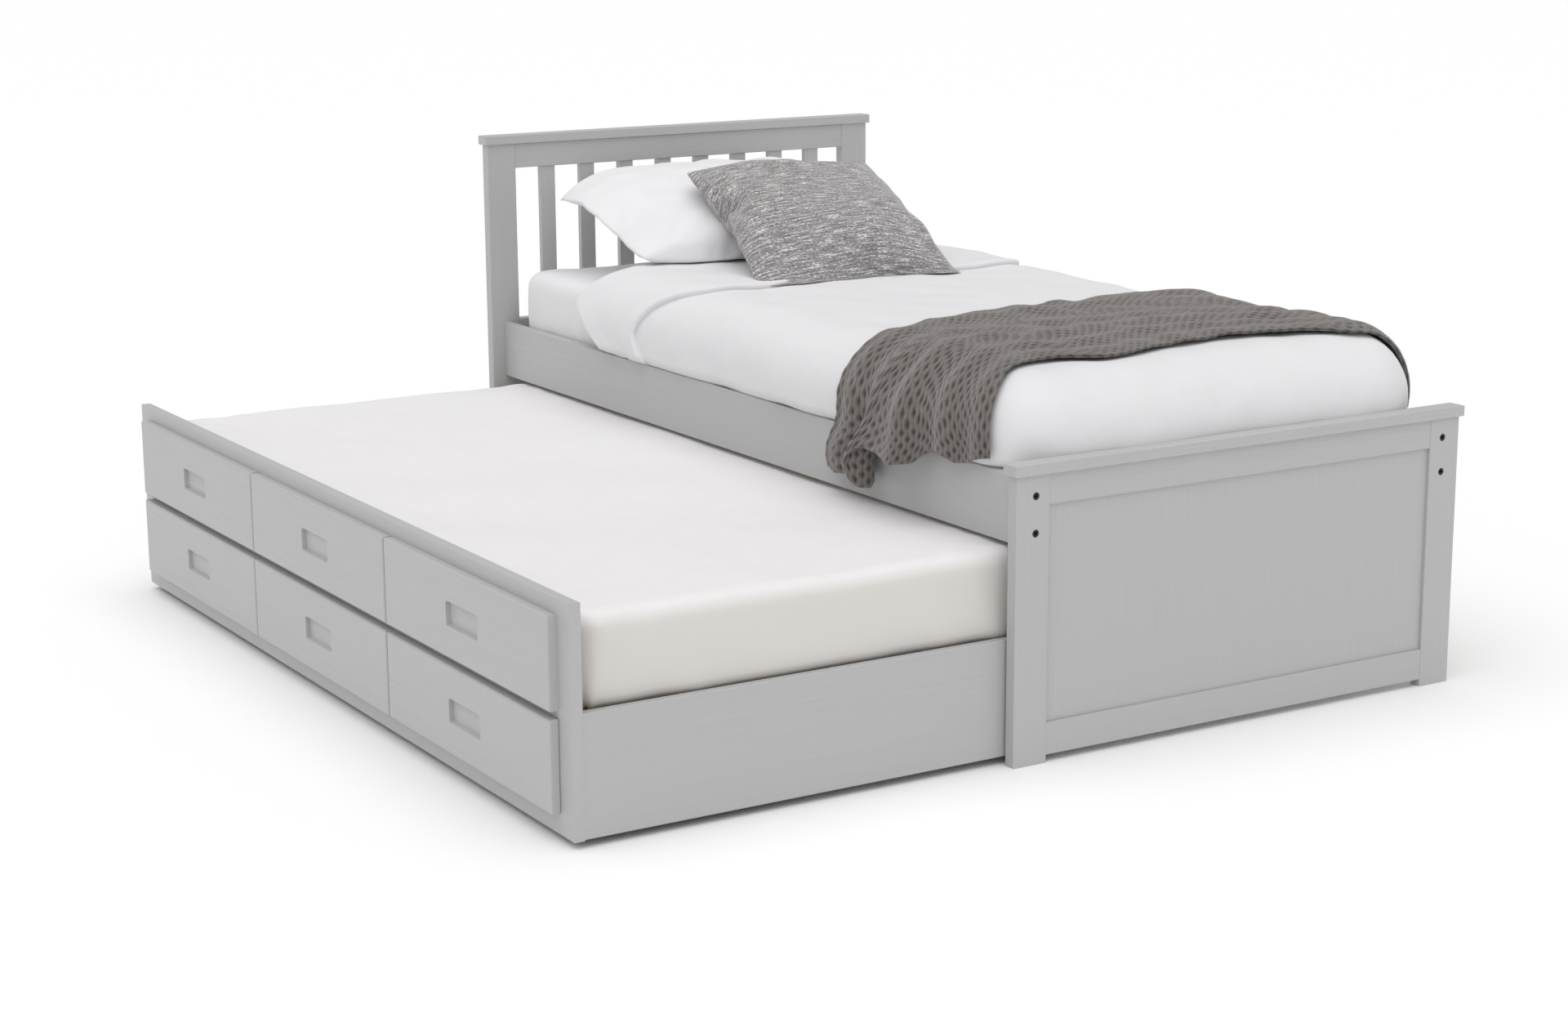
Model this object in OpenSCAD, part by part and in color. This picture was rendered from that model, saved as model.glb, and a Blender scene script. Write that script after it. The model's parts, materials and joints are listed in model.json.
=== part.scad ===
// Single bed with a pull-out guest bed (trundle) under it.
// +X runs from the headboard to the footboard, the trundle pulls out towards -Y, +Z is up.
// The origin is on the floor, midway along and midway across the bed with its trundle out.

/* [Bed frame] */
// Length over the headboard and footboard posts
bed_l = 2030; // [1690:1:2440]
// Width over the posts
bed_w = 1000; // [830:1:1500]
// Height of the headboard with its cap
head_h = 917; // [780:1:1200]
// Height of the footboard's cap over the side rails
foot_up = 28; // [22:1:200]
// Width of a post, across the bed
post_w = 69; // [55:1:110]
// Thickness of a post, along the bed
post_t = 25; // [20:0.5:45]
// Thickness of the caps
cap_t = 20; // [12:0.5:35]
// Overhang of the caps past the posts
cap_over = 6; // [2:0.5:20]
// Height of the top rails
top_rail_h = 54; // [40:1:90]
// Height of the bottom rails and of the headboard's middle rail
low_rail_h = 58; // [40:1:90]
// Height of the headboard's middle rail over the side rails' underside
mid_rail_up = 69; // [40:1:120]
// Gap between the bottom rails and the floor
floor_gap = 13; // [5:1:40]
// How far the rails sit back from the posts' faces
rail_step = 1.5; // [0.5:0.5:4]
// Thickness of the headboard and footboard panels
panel_t = 10; // [6:0.5:15]
// Depth of the grooves that hold the panels
groove_d = 8; // [5:0.5:12]
// Number of upright headboard slats
head_slats = 8; // [3:1:12]
// Width of an upright headboard slat
head_slat_w = 35.5; // [20:0.5:60]
// Thickness of an upright headboard slat
head_slat_t = 14; // [10:0.5:18]
// Length of the tenons on the headboard slats
tenon_l = 10; // [5:0.5:20]
// Radius that takes the sharpness off each long edge
edge_r = 2; // [1:0.25:4]

/* [Side rails and bolts] */
// Height of a side rail
side_rail_h = 120; // [90:1:170]
// Thickness of a side rail
side_rail_t = 20; // [16:0.5:35]
// Underside of the side rails
side_rail_z = 378; // [330:1:460]
// How far a side rail sits in from the posts' outer edges
side_rail_in = 30; // [12:1:45]
// Distance between the two bolts at each rail end
bolt_pitch = 64; // [40:1:75]
// Diameter of the bolt shanks
bolt_d = 6; // [5:0.5:8]
// Diameter of the bolt heads
bolt_head_d = 12.5; // [10:0.5:16]
// Thickness of the bolt heads
bolt_head_t = 6; // [4:0.5:8]
// Depth of the bolt head counterbores
sink_d = 7; // [5:0.5:10]
// Distance from a rail's end to its barrel nuts
nut_in = 45; // [30:1:70]
// Diameter of the barrel nuts
nut_d = 10; // [9:0.5:12]

/* [Slatted base] */
// Width of the ledges that carry the slats
ledge_w = 22; // [15:1:40]
// Height of the ledges
ledge_h = 18; // [12:1:30]
// Height of the ledges' underside over the side rails' underside
ledge_up = 4; // [0:1:20]
// Number of slats under each mattress
slats = 12; // [8:1:16]
// Width of a slat
slat_w = 65; // [40:1:90]
// Thickness of a slat in the main bed
slat_t = 16; // [10:1:24]
// Thickness of a slat in the trundle
trundle_slat_t = 12; // [9:1:16]

/* [Trundle] */
// How far the trundle is pulled out at rest
pull_out = 830; // [0:1:900]
// Gap between the fascia's ends and the posts
end_gap = 5; // [3:0.5:12]
// Thickness of the fascia
fascia_t = 20; // [16:0.5:28]
// How far the fascia laps over the side rail when closed
fascia_lap = 21; // [10:1:40]
// Gap between the fascia and the floor
fascia_z = 13; // [8:1:20]
// Thickness of the trundle's end, back and dividing boards
board_t = 18; // [15:0.5:22]
// Top of the trundle's slats over the floor
sleep_z = 210; // [195:1:230]
// How far the end boards stand up past the mattress's underside
board_up = 10; // [5:1:20]
// Width of the boards that carry the castors
base_w = 90; // [70:1:140]

/* [Drawer fronts] */
// Thickness of a drawer front
front_t = 18; // [15:0.5:24]
// Gap between fronts side by side
front_gap = 5; // [3:0.5:10]
// Gap between the upper and lower fronts
row_gap = 14; // [6:1:18]
// Fascia showing above the upper fronts
front_drop = 27; // [10:1:40]
// Fascia showing below the lower fronts
front_foot = 37; // [10:1:50]
// Fascia showing past the end fronts
front_margin = 43; // [20:1:80]
// Radius of the rounded edges of a front
front_r = 4; // [2:0.5:8]
// Width of the finger recess
recess_w = 120; // [90:1:160]
// Height of the finger recess
recess_h = 43; // [30:1:60]
// Depth of the finger recess
recess_d = 8; // [5:0.5:14]
// Corner radius of the finger recess
recess_r = 5; // [2:0.5:10]
// Height of the sloping lip at the foot of the recess
recess_lip = 2.5; // [1:0.5:20]

/* [Drawers] */
// Depth of a drawer box
box_d = 450; // [350:1:600]
// Overlap of a drawer front on the fascia at each side of its opening
front_lap = 15; // [10:0.5:30]
// Thickness of a drawer's sides
side_t = 15; // [12:0.5:20]
// Thickness of a drawer's front and back walls
wall_t = 12; // [10:0.5:20]
// Thickness of a drawer's bottom
bottom_t = 4; // [3:0.5:8]
// Height of a drawer's bottom over the underside of its sides
bottom_up = 8; // [6:0.5:15]
// Height of a drawer runner
runner_h = 16; // [10:1:24]
// Depth of the runner groove in a drawer's side
runner_in = 7; // [4:0.5:9]

/* [Castors] */
// Diameter of a castor wheel
wheel_d = 50; // [40:1:62]
// Width of a castor wheel
wheel_w = 20; // [14:1:26]
// Diameter of a castor axle
axle_d = 8; // [6:0.5:10]
// Thickness of the castor bracket plate
plate_t = 2.5; // [2:0.5:4]
// Distance from an end board to the castors beside it
castor_in = 85; // [50:1:300]

/* [Bedding] */
// Gap between the main mattress and the posts at each end
mattress_gap = 40; // [34:1:100]
// Thickness of the main mattress
mattress_t = 205; // [150:1:260]
// Thickness of the duvet on top
duvet_t = 32; // [20:1:50]
// Thickness of the duvet at the sides
duvet_side = 29; // [15:1:35]
// Bare mattress between its head end and the duvet
duvet_back = 350; // [0:5:500]
// Depth of the pillow, head to foot
pillow_l = 480; // [380:5:520]
// Width of the pillow
pillow_w = 700; // [600:5:780]
// Thickness of the pillow
pillow_t = 170; // [100:5:180]
// Side of the scatter cushion
cushion_l = 460; // [350:5:500]
// Thickness of the scatter cushion
cushion_t = 140; // [90:5:160]
// Slope of the pillow
pillow_lean = 20; // [15:1:30]
// Slope of the cushion, which lies on the pillow
cushion_lean = 23; // [15:1:30]
// Thickness of the knitted throw
throw_t = 8; // [4:0.5:12]
// Width of the knitted throw, along the bed
throw_w = 520; // [300:5:900]
// Duvet showing past the throw at the foot end
throw_back = 41; // [10:1:300]

/* [Fits] */
// Clearance around a panel or a tenon in its groove
joint_fit = 0.2; // [0.1:0.05:0.5]
// Radial clearance between a castor wheel and its axle
axle_fit = 0.05; // [0.02:0.01:0.1]
// Clearance between a drawer box and its opening, and at the slat ends
slide_fit = 2; // [1:0.5:3]
// Clearance around a drawer runner in its groove
runner_fit = 0.5; // [0.3:0.1:1]
// Clearance between the closed fascia and the side rail, and behind a drawer front
close_fit = 1; // [0.5:0.5:3]
// Clearance over the trundle's mattress as it passes the side rail
pass_fit = 6; // [4:1:15]
// Clearance between soft pieces and what is beside them
soft_fit = 1.5; // [1:0.5:4]

/* [Hidden] */
$fn = 64;
paint = "#b2b3b3";
bare_wood = "#d9c7a3";
white_linen = "#f2f2f2";
through = 1;                                   // how far a cut runs past the face it opens

// Main bed, measured from its own middle
inner_l = bed_l - 2 * post_t;                  // between the posts, along the bed
frame_x = bed_l / 2 - post_t / 2;              // middle of the posts and frame rails
frame_rail_t = post_t - 2 * rail_step;
span_w = bed_w - 2 * post_w;                   // between the posts, across the bed
side_rail_y = bed_w / 2 - side_rail_in - side_rail_t / 2;
side_rail_inner = side_rail_y - side_rail_t / 2;
side_rail_top = side_rail_z + side_rail_h;
bolt_mid_z = side_rail_z + side_rail_h / 2;
bolt_air = 0.6;                                // around the bolt shanks and heads
bolt_l = post_t - sink_d + nut_in + nut_d;     // under the head
nut_skin = 3;                                  // wood left outside a barrel nut's hole
nut_air = 0.5;                                 // at each end of a barrel nut
nut_l = side_rail_t - nut_skin - 2 * nut_air;
bore_past = 5;                                 // the rail's bore past the end of its bolt
head_top = head_h - cap_t;
foot_top = side_rail_top + foot_up - cap_t;
mid_rail_z = side_rail_z + mid_rail_up;
foot_panel_top = foot_top - top_rail_h;
head_slat_pitch = (span_w + head_slat_w) / (head_slats + 1);
ledge_z = side_rail_z + ledge_up;
bed_slat_z = ledge_z + ledge_h;
mattress_z = bed_slat_z + slat_t;
mattress_w = 2 * (side_rail_inner - 2 * soft_fit);
mattress_top = mattress_z + mattress_t;
mattress_r = 30;

// Trundle, measured from its fascia's outer face
fascia_l = inner_l - 2 * end_gap;
fascia_top = side_rail_z + fascia_lap;
fascia_closed = -bed_w / 2 + side_rail_in - close_fit - fascia_t;
trundle_d = side_rail_inner - close_fit - fascia_closed;
lower_z = fascia_z + front_foot;
front_h = (fascia_top - front_drop - row_gap - lower_z) / 2;
upper_z = lower_z + front_h + row_gap;
front_w = (fascia_l - 2 * front_margin - 2 * front_gap) / 3;
front_pitch = front_w + front_gap;
board_step = 1;                                // the end boards sit back from the fascia's ends
end_out = fascia_l / 2 - board_step;
end_in = end_out - board_t;
board_z = fascia_z + board_step;
board_top = sleep_z + board_up;
back_y = trundle_d - board_t;
trundle_ledge_top = sleep_z - trundle_slat_t;
trundle_ledge_z = trundle_ledge_top - ledge_h;

// Castors and the boards that carry them
wheel_r = wheel_d / 2;
wheel_air = 4.5;                               // between a wheel and its bracket's plate
wheel_side_air = 1.5;
cheek_wall = 4.2;                              // of a bracket's cheek round the axle
plate_reach = 10;                              // of a bracket's plate past its cheeks, each way
base_z = wheel_d + wheel_air + plate_t;
base_top = base_z + board_t;
castor_x = [-(end_in - castor_in), 0, end_in - castor_in];
castor_y = [fascia_t + base_w / 2, back_y - base_w / 2];
cheek_in = wheel_w / 2 + wheel_side_air;
cheek_out = cheek_in + plate_t;

// Drawers
opening_w = front_w - 2 * front_lap;
opening_z = max(base_top + board_step, lower_z + front_lap);
opening_top = min(trundle_ledge_z - 2 * slide_fit, lower_z + front_h - front_lap);
box_w = opening_w - 2 * slide_fit;
box_z = opening_z + 2 * slide_fit;
box_h = opening_top - 2 * slide_fit - box_z;
runner_z = box_z + box_h / 2;
runner_l = box_d - fascia_t - wall_t - 2 * slide_fit;
drawer_x = [-front_pitch, 0, front_pitch];
divider_x = front_pitch / 2;

// Places in the common frame
front_reach = -fascia_closed + pull_out + front_t;
back_reach = bed_w / 2 + cap_over;
bed_y = (front_reach - back_reach) / 2;
trundle_y = bed_y + fascia_closed - pull_out;

// Bedding
mattress_l = inner_l - 2 * mattress_gap;
duvet_foot = bed_l / 2 - post_t - cap_over - 2 * soft_fit;
duvet_head = -mattress_l / 2 + duvet_back;
duvet_w = mattress_w + 2 * duvet_side + 2 * soft_fit;
duvet_top = mattress_top + soft_fit + duvet_t;
duvet_hem = side_rail_top + soft_fit;
duvet_r = 50;
throw_air = 9;                                 // under the near hem, where the fascia passes
throw_hem = fascia_top + throw_air;
throw_far_hem = duvet_hem + throw_air / 2;
throw_foot = duvet_foot - throw_back;
throw_head = throw_foot - throw_w;
// Each face of the pillow and the cushion is an arc: its radius, and how far its centre is from the middle
pillow_r = face_r(pillow_l, pillow_t);
cushion_r = face_r(cushion_l, cushion_t);
pillow_o = pillow_r - pillow_t / 2;
cushion_o = cushion_r - cushion_t / 2;
pillow_x = -inner_l / 2 + pillow_l / 2 * cos(pillow_lean) + pillow_t / 4 + soft_fit;
pillow_z = duvet_top + soft_fit + pillow_r - pillow_o * cos(pillow_lean);
// The cushion's lower face touches the pillow's upper one: their centres are both radii apart
face_rise = cushion_r - pillow_r + 2 * pillow_o * cos(pillow_lean);
face_run = sqrt(pow(pillow_r + cushion_r + soft_fit, 2) - pow(face_rise, 2));
cushion_x = pillow_x - pillow_o * sin(pillow_lean) - cushion_o * sin(cushion_lean) + face_run;
cushion_z = duvet_top + soft_fit + cushion_r - cushion_o * cos(cushion_lean);
pillow_y = -25;                                // it lies a little towards the front
cushion_y = 5;

// ---------- shared shapes ----------

// Rectangle with its four corners rounded
module eased_rect(w, h, r) {
    translate([r, 0]) square([w - 2 * r, h]);
    translate([0, r]) square([w, h - 2 * r]);
    for (x = [r, w - r], y = [r, h - r]) translate([x, y]) circle(r);
}

// Board between two corners with square edges
module block(low, high) {
    translate(low) cube(high - low);
}

// Boards with their long edges eased, running along X, Y or Z
module board_x(low, high, r = edge_r) {
    s = high - low;
    translate(low) translate([0, 0, s.z]) rotate([0, 90, 0])
        linear_extrude(s.x) eased_rect(s.z, s.y, r);
}

module board_y(low, high, r = edge_r) {
    s = high - low;
    translate(low) translate([0, s.y, 0]) rotate([90, 0, 0])
        linear_extrude(s.y) eased_rect(s.x, s.z, r);
}

module board_z(low, high, r = edge_r) {
    s = high - low;
    translate(low) linear_extrude(s.z) eased_rect(s.x, s.y, r);
}

// Hole or pin along X, starting at x
module rod_x(x, y, z, d, l) {
    translate([x, y, z]) rotate([0, 90, 0]) cylinder(h = l, d = d);
}

// Hole or pin along Y, starting at y
module rod_y(x, y, z, d, l) {
    translate([x, y, z]) rotate([-90, 0, 0]) cylinder(h = l, d = d);
}

module in_bed() { translate([0, bed_y, 0]) children(); }
module in_trundle() { translate([0, trundle_y, 0]) children(); }

// ---------- headboard and footboard ----------

// The end frames are drawn at the foot end; the headboard is their mirror image
module at_head() { in_bed() mirror([1, 0, 0]) children(); }

module post(top, panel_top) {
    out_x = bed_l / 2;
    difference() {
        board_z([out_x - post_t, span_w / 2, 0], [out_x, bed_w / 2, top]);
        for (dz = [-1, 1] * bolt_pitch / 2) {
            z = bolt_mid_z + dz;
            rod_x(out_x - post_t - through, side_rail_y, z, bolt_d + 2 * bolt_air, post_t + 2 * through);
            rod_x(out_x - sink_d, side_rail_y, z, bolt_head_d + 2 * bolt_air, sink_d + through);
        }
        block([frame_x - panel_t / 2 - joint_fit, span_w / 2 - through, floor_gap + low_rail_h - groove_d],
              [frame_x + panel_t / 2 + joint_fit, span_w / 2 + groove_d, panel_top + groove_d]);
    }
}
module frame_rail(z, h) {
    board_y([frame_x - frame_rail_t / 2, -span_w / 2, z], [frame_x + frame_rail_t / 2, span_w / 2, z + h]);
}

// Groove for a panel's edge, at height z and reaching dz up or down
module panel_groove(z, dz) {
    half = panel_t / 2 + joint_fit;
    block([frame_x - half, -span_w / 2 - through, min(z, z + dz)],
          [frame_x + half, span_w / 2 + through, max(z, z + dz)]);
}

module bottom_rail() {
    top = floor_gap + low_rail_h;
    color(paint) difference() {
        frame_rail(floor_gap, low_rail_h);
        panel_groove(top + through, -groove_d - through);
    }
}

module frame_panel(top) {
    in_groove = groove_d - joint_fit;
    half_w = span_w / 2 + in_groove;
    color(paint)
        block([frame_x - panel_t / 2, -half_w, floor_gap + low_rail_h - in_groove],
              [frame_x + panel_t / 2, half_w, top + in_groove]);
}

// Cap with eased edges on all four sides
module cap(z) {
    t = post_t + 2 * cap_over;
    l = bed_w + 2 * cap_over;
    color(paint) intersection() {
        board_y([frame_x - t / 2, -l / 2, z], [frame_x + t / 2, l / 2, z + cap_t]);
        board_x([frame_x - t / 2, -l / 2, z], [frame_x + t / 2, l / 2, z + cap_t]);
    }
}

// Upright slats with a tenon at each end, or the mortises for them when grown by a clearance
module upright_slats(grow = 0) {
    low = mid_rail_z + low_rail_h;
    high = head_top - top_rail_h;
    half_w = head_slat_w / 2;
    for (i = [1 : head_slats]) {
        y = -span_w / 2 - half_w + i * head_slat_pitch;
        block([frame_x - head_slat_t / 2 - grow, y - half_w - grow, low - tenon_l - grow],
              [frame_x + head_slat_t / 2 + grow, y + half_w + grow, high + tenon_l + grow]);
    }
}

module headboard_post_back() { color(paint) at_head() post(head_top, mid_rail_z); }
module headboard_post_front() { color(paint) at_head() mirror([0, 1, 0]) post(head_top, mid_rail_z); }
module headboard_cap() { at_head() cap(head_top); }
module headboard_slats() { color(paint) at_head() upright_slats(); }
module headboard_panel() { at_head() frame_panel(mid_rail_z); }
module headboard_bottom_rail() { at_head() bottom_rail(); }

module headboard_top_rail() {
    color(paint) at_head() difference() {
        frame_rail(head_top - top_rail_h, top_rail_h);
        upright_slats(joint_fit);
    }
}

module headboard_mid_rail() {
    color(paint) at_head() difference() {
        frame_rail(mid_rail_z, low_rail_h);
        upright_slats(joint_fit);
        panel_groove(mid_rail_z - through, groove_d + through);
    }
}

module footboard_post_back() { color(paint) in_bed() post(foot_top, foot_panel_top); }
module footboard_post_front() { color(paint) in_bed() mirror([0, 1, 0]) post(foot_top, foot_panel_top); }
module footboard_cap() { in_bed() cap(foot_top); }
module footboard_panel() { in_bed() frame_panel(foot_panel_top); }
module footboard_bottom_rail() { in_bed() bottom_rail(); }

module footboard_top_rail() {
    color(paint) in_bed() difference() {
        frame_rail(foot_panel_top, top_rail_h);
        panel_groove(foot_panel_top - through, groove_d + through);
    }
}

// ---------- side rails, bolts and slats ----------

module side_rail() {
    color(paint) difference() {
        board_x([-inner_l / 2, side_rail_inner, side_rail_z],
                [inner_l / 2, side_rail_inner + side_rail_t, side_rail_top]);
        for (side = [-1, 1], dz = [-1, 1] * bolt_pitch / 2) {
            end_x = side * inner_l / 2;
            bore_l = nut_in + nut_d + bore_past;
            rod_x(min(end_x + side * through, end_x - side * bore_l), side_rail_y, bolt_mid_z + dz,
                  bolt_d + 2 * bolt_air, bore_l + through);
            rod_y(end_x - side * nut_in, side_rail_inner - through, bolt_mid_z + dz,
                  nut_d + 2 * joint_fit, side_rail_t - nut_skin + through);
        }
    }
}

module side_rail_back() { in_bed() side_rail(); }
module side_rail_front() { in_bed() mirror([0, 1, 0]) side_rail(); }

// Places its children at each of the eight bolts, with +X pointing out of the post
module at_bolts() {
    in_bed() for (mx = [0, 1], my = [0, 1], dz = [-1, 1] * bolt_pitch / 2)
        mirror([mx, 0, 0]) mirror([0, my, 0])
            translate([bed_l / 2 - sink_d, side_rail_y, bolt_mid_z + dz]) children();
}

module frame_bolts() {
    socket_d = bolt_head_d / 2;
    color("#3a3a3c") at_bolts() difference() {
        union() {
            rod_x(-bolt_l, 0, 0, bolt_d, bolt_l);
            rod_x(0, 0, 0, bolt_head_d, bolt_head_t);
        }
        translate([bolt_head_t / 2, 0, 0]) rotate([0, 90, 0])
            cylinder(h = bolt_head_t, d = socket_d, $fn = 6);
    }
}

module barrel_nuts() {
    color("#8d8d90") at_bolts() difference() {
        rod_y(sink_d - post_t - nut_in, -side_rail_t / 2 + nut_air, 0, nut_d, nut_l);
        rod_x(sink_d - post_t - nut_in - nut_d, 0, 0, bolt_d + 2 * axle_fit, 2 * nut_d);
    }
}

module slat_ledges() {
    color(bare_wood) in_bed() for (m = [0, 1]) mirror([0, m, 0])
        block([-inner_l / 2 + slide_fit, side_rail_inner - ledge_w, ledge_z],
              [inner_l / 2 - slide_fit, side_rail_inner, bed_slat_z]);
}

// A row of cross slats spread evenly between -half_l and half_l
module slat_row(half_l, y0, y1, z, t) {
    pitch = (2 * half_l - slat_w) / (slats - 1);
    for (i = [0 : slats - 1])
        board_y([-half_l + i * pitch, y0, z], [-half_l + i * pitch + slat_w, y1, z + t]);
}

module bed_slats() {
    half_w = side_rail_inner - slide_fit;
    color(bare_wood) in_bed() slat_row(inner_l / 2 - ledge_w, -half_w, half_w, bed_slat_z, slat_t);
}

// ---------- trundle carcass ----------

module trundle_fascia() {
    color(paint) in_trundle() difference() {
        board_x([-fascia_l / 2, 0, fascia_z], [fascia_l / 2, fascia_t, fascia_top]);
        for (x = drawer_x)
            block([x - opening_w / 2, -through, opening_z],
                  [x + opening_w / 2, fascia_t + through, opening_top]);
    }
}

// Drawer front t thick with its back on y = 0, rounded at its outer edges, with a finger recess
module drawer_face(x, z, t) {
    low = [x - front_w / 2, -t, z];
    high = [x + front_w / 2, 0, z + front_h];
    back = front_r * [0, 1, 0];                // rounds only the outer edges
    mid_z = z + front_h / 2;
    color(paint) difference() {
        intersection() {
            board_x(low, high + back, front_r);
            board_z(low, high + back, front_r);
            block(low, high);
        }
        intersection() {
            translate([x - recess_w / 2, recess_d - t, mid_z - recess_h / 2]) rotate([90, 0, 0])
                linear_extrude(recess_d + through) eased_rect(recess_w, recess_h, recess_r);
            translate([x - recess_w / 2, -t, mid_z - recess_h / 2]) rotate([90, 0, 90])
                linear_extrude(recess_w) polygon([
                    [-through, -recess_lip * through / recess_d], [recess_d, recess_lip],
                    [recess_d, recess_h], [-through, recess_h]
                ]);
        }
    }
}

module false_front(x) { in_trundle() drawer_face(x, upper_z, front_t); }
module false_front_left() { false_front(drawer_x[0]); }
module false_front_middle() { false_front(drawer_x[1]); }
module false_front_right() { false_front(drawer_x[2]); }

module end_board() {
    color(paint) board_y([end_in, fascia_t, board_z], [end_out, trundle_d, board_top]);
}

module trundle_end_foot() { in_trundle() end_board(); }
module trundle_end_head() { in_trundle() mirror([1, 0, 0]) end_board(); }

module trundle_back() {
    color(paint) in_trundle() board_x([-end_in, back_y, board_z], [end_in, trundle_d, board_top]);
}

module divider() {
    color(bare_wood) block([divider_x - board_t / 2, fascia_t, base_top],
                           [divider_x + board_t / 2, back_y, trundle_ledge_z]);
}

module trundle_divider_right() { in_trundle() divider(); }
module trundle_divider_left() { in_trundle() mirror([1, 0, 0]) divider(); }

module base_rail(y) {
    color(bare_wood) block([-end_in, y, base_z], [end_in, y + base_w, base_top]);
}

module base_rail_front() { in_trundle() base_rail(fascia_t); }
module base_rail_back() { in_trundle() base_rail(back_y - base_w); }

module trundle_slat_ledges() {
    color(bare_wood) in_trundle() for (y = [fascia_t, back_y - ledge_w])
        block([-end_in, y, trundle_ledge_z], [end_in, y + ledge_w, trundle_ledge_top]);
}

module trundle_slats() {
    y0 = fascia_t + slide_fit;
    color(bare_wood) in_trundle()
        slat_row(end_in - ledge_w, y0, back_y - slide_fit, trundle_ledge_top, trundle_slat_t);
}

// Runners reach from the divider or end board beside each drawer into the groove in its side
module drawer_runners() {
    reach = box_w / 2 - runner_in + runner_fit;
    color(bare_wood) in_trundle() for (m = [0, 1]) mirror([m, 0, 0]) {
        drawer_runner(reach, divider_x - board_t / 2);
        drawer_runner(divider_x + board_t / 2, front_pitch - reach);
        drawer_runner(front_pitch + reach, end_in);
    }
}

module drawer_runner(x0, x1) {
    block([x0, fascia_t, runner_z - runner_h / 2], [x1, fascia_t + runner_l, runner_z + runner_h / 2]);
}

// ---------- drawers ----------

module drawer_front(i) {
    in_trundle() translate([0, -close_fit, 0]) drawer_face(drawer_x[i], lower_z, front_t - close_fit);
}

// Four walls with a groove inside for the bottom and a groove in each side for its runner
module drawer_box(i) {
    low = [-box_w / 2, -close_fit, box_z];
    high = [box_w / 2, box_d - close_fit, box_z + box_h];
    groove_w = runner_h / 2 + runner_fit;
    color(bare_wood) in_trundle() translate([drawer_x[i], 0, 0]) difference() {
        block(low, high);
        block(low + [side_t, wall_t, -through], high - [side_t, wall_t, -through]);
        drawer_bottom_slab(joint_fit);
        for (m = [0, 1]) mirror([m, 0, 0])
            block([box_w / 2 - runner_in, fascia_t - runner_fit, runner_z - groove_w],
                  [box_w / 2 + through, box_d + through, runner_z + groove_w]);
    }
}

module drawer_bottom_slab(grow = 0) {
    tongue = side_t / 3 - joint_fit;
    low = [-box_w / 2 + side_t - tongue, wall_t - tongue - close_fit, box_z + bottom_up];
    high = [box_w / 2 - side_t + tongue, box_d - wall_t + tongue - close_fit, box_z + bottom_up + bottom_t];
    block(low - grow * [1, 1, 1], high + grow * [1, 1, 1]);
}

module drawer_bottom(i) {
    color("#e9e6df") in_trundle() translate([drawer_x[i], 0, 0]) drawer_bottom_slab();
}

module drawer_front_left() { drawer_front(0); }
module drawer_box_left() { drawer_box(0); }
module drawer_bottom_left() { drawer_bottom(0); }
module drawer_front_middle() { drawer_front(1); }
module drawer_box_middle() { drawer_box(1); }
module drawer_bottom_middle() { drawer_bottom(1); }
module drawer_front_right() { drawer_front(2); }
module drawer_box_right() { drawer_box(2); }
module drawer_bottom_right() { drawer_bottom(2); }

// ---------- castors ----------

module at_castors() {
    in_trundle() for (x = castor_x, y = castor_y) translate([x, y, wheel_r]) children();
}

module castor_brackets() {
    cheek_d = axle_d + 2 * cheek_wall;
    plate_l = cheek_d + 2 * plate_reach;
    plate_z = base_z - plate_t - wheel_r;
    color("#9a9a9d") at_castors() {
        block([-cheek_out, -plate_l / 2, plate_z], [cheek_out, plate_l / 2, plate_z + plate_t]);
        for (x = [-cheek_out, cheek_in]) difference() {
            union() {
                rod_x(x, 0, 0, cheek_d, plate_t);
                block([x, -cheek_d / 2, 0], [x + plate_t, cheek_d / 2, plate_z]);
            }
            rod_x(x - through, 0, 0, axle_d + 2 * axle_fit, plate_t + 2 * through);
        }
    }
}

module castor_axles() {
    head_t = 1.5;
    head_d = 1.5 * axle_d;
    color("#77777a") at_castors() {
        rod_x(-cheek_out, 0, 0, axle_d, 2 * cheek_out);
        for (x = [-cheek_out - head_t, cheek_out]) rod_x(x, 0, 0, head_d, head_t);
    }
}

// Wheel with a rounded tread and a shallow dish in each side
module castor_wheel(ix, iy) {
    bore_r = axle_d / 2 + axle_fit;
    hub_r = 1.2 * axle_d;
    rim = wheel_d / 8;
    dish = wheel_w / 5;
    color("#2d2d2f") in_trundle() translate([castor_x[ix], castor_y[iy], wheel_r]) rotate([0, 90, 0])
        rotate_extrude() difference() {
            translate([0, -wheel_w / 2]) eased_rect(wheel_r, wheel_w, wheel_w / 6);
            translate([-through, -wheel_w / 2 - through]) square([bore_r + through, wheel_w + 2 * through]);
            for (y = [-wheel_w / 2 - through, wheel_w / 2 - dish])
                translate([hub_r, y]) square([wheel_r - rim - hub_r, dish + through]);
        }
}

module castor_wheel_front_left() { castor_wheel(0, 0); }
module castor_wheel_front_middle() { castor_wheel(1, 0); }
module castor_wheel_front_right() { castor_wheel(2, 0); }
module castor_wheel_back_left() { castor_wheel(0, 1); }
module castor_wheel_back_middle() { castor_wheel(1, 1); }
module castor_wheel_back_right() { castor_wheel(2, 1); }

// ---------- bedding ----------

module mattress_block(low, high) {
    color(white_linen) board_z(low, high, mattress_r);
}

module main_mattress() {
    in_bed() mattress_block([-mattress_l / 2, -mattress_w / 2, mattress_z],
                            [mattress_l / 2, mattress_w / 2, mattress_top]);
}

// The guest mattress is pushed towards the foot end
module trundle_mattress() {
    foot_x = end_in - 2 * soft_fit;
    in_trundle() mattress_block([foot_x - mattress_l, fascia_t + 2 * soft_fit, sleep_z],
                                [foot_x, back_y - 2 * soft_fit, side_rail_z - pass_fit]);
}

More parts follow.
